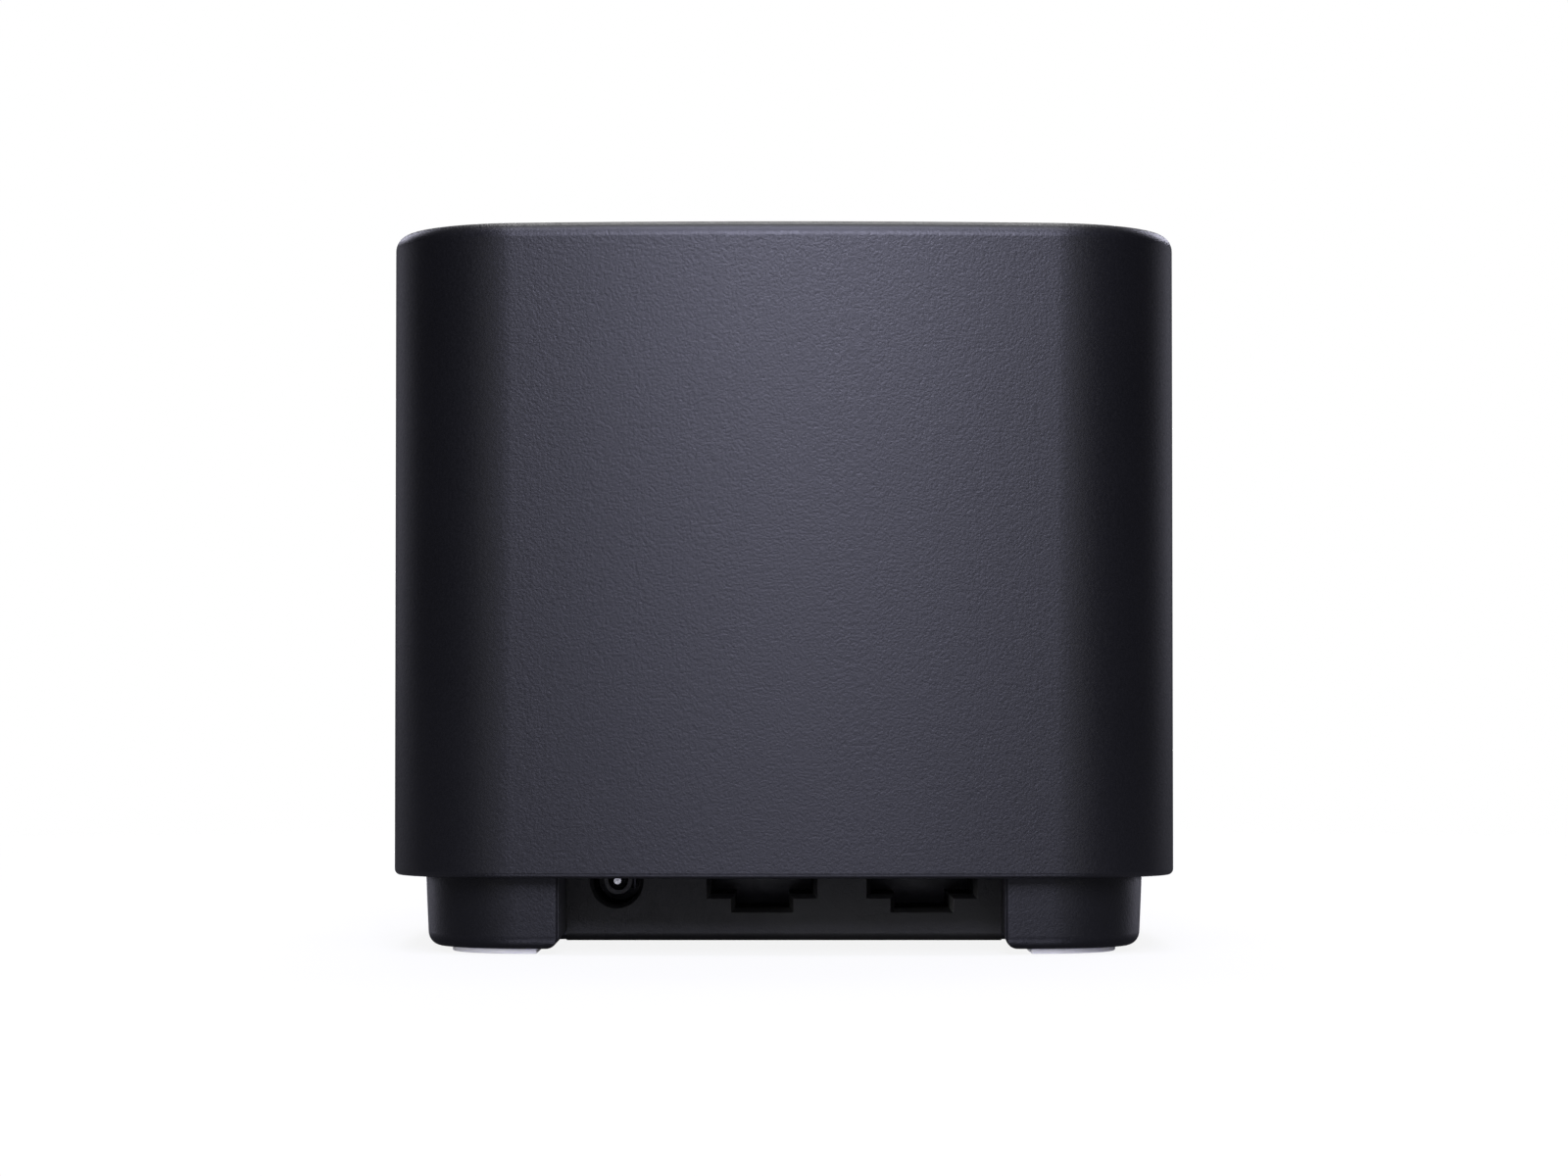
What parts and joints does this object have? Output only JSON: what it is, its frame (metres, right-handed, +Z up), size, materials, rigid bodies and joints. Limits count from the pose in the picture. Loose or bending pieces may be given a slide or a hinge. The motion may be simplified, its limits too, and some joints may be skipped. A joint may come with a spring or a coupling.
{
  "type": "mesh wifi node",
  "caption": "Rounded-square mesh wifi node: matte black shell over an inset base with a rear cable bay, network sockets and power inlet.",
  "frame": {"origin": "on the resting plane, under the middle of the node", "axes": "+Z up, -Y towards the sockets at the rear, +Y towards the status light at the front, +X to the right seen from the rear"},
  "size_m": [0.09, 0.09, 0.08],
  "materials": {
    "shell_plastic": "fine moulded grain, satin black with a blue cast",
    "base_plastic": "fine moulded grain, satin black",
    "socket_plastic": "smooth black moulding",
    "pad_rubber": "soft pale grey",
    "frame_plastic": "plain dark grey moulding",
    "board_laminate": "green solder mask",
    "chip_black": "black epoxy",
    "cable_jacket": "thin black jacket",
    "sink_aluminium": "satin extrusion",
    "steel": "plated",
    "contact_gold": "gold plated",
    "thermal_pad": "soft blue gap pad",
    "label_film": "blank dark film",
    "switch_white": "natural nylon",
    "light_lens": "frosted clear"
  },
  "bodies": {
    "enclosure": {"outer_shell": "shell_plastic", "base_tray": "base_plastic", "port_panel": "base_plastic", "ethernet_jack_1": "socket_plastic", "ethernet_jack_2": "socket_plastic", "dc_jack": "socket_plastic", "foot_pad_rear_left": "pad_rubber", "foot_pad_rear_right": "pad_rubber", "foot_pad_front_left": "pad_rubber", "foot_pad_front_right": "pad_rubber", "inner_frame": "frame_plastic", "main_board": "board_laminate", "antenna_left": "board_laminate", "antenna_right": "board_laminate", "wifi_processor": "chip_black", "memory_chip": "chip_black", "network_switch_chip": "chip_black", "flash_chip": "chip_black", "lan_transformer_1": "chip_black", "lan_transformer_2": "chip_black", "power_inductor": "chip_black", "pairing_switch": "chip_black", "reset_switch": "chip_black", "antenna_cable_left": "cable_jacket", "antenna_cable_right": "cable_jacket", "front_heat_sink": "sink_aluminium", "rear_heat_sink": "sink_aluminium", "power_capacitor_1": "sink_aluminium", "power_capacitor_2": "sink_aluminium", "base_screw_1": "steel", "base_screw_2": "steel", "base_screw_3": "steel", "base_screw_4": "steel", "heat_sink_screw_1": "steel", "heat_sink_screw_2": "steel", "heat_sink_screw_3": "steel", "heat_sink_screw_4": "steel", "radio_shield_1": "steel", "radio_shield_2": "steel", "dc_center_pin": "steel", "dc_spring_contact": "steel", "ethernet_contacts_1": "contact_gold", "ethernet_contacts_2": "contact_gold", "processor_thermal_pad": "thermal_pad", "radio_thermal_pad_1": "thermal_pad", "radio_thermal_pad_2": "thermal_pad", "rating_label": "label_film", "status_led": "switch_white", "light_pipe": "light_lens"},
    "pairing_button": {"pairing_button": "base_plastic", "pairing_plunger": "switch_white"},
    "reset_plunger": {"reset_plunger": "switch_white"}
  },
  "joints": [
    {"name": "pairing_press", "type": "slide", "parent": "enclosure", "child": "pairing_button", "axis": [0, 0, 1], "range_m": [0, 0.0005], "stiffness_N_per_m": 900, "springref_m": -0.0006},
    {"name": "reset_press", "type": "slide", "parent": "enclosure", "child": "reset_plunger", "axis": [0, 0, 1], "range_m": [0, 0.0004], "stiffness_N_per_m": 900, "springref_m": -0.0006}
  ]
}
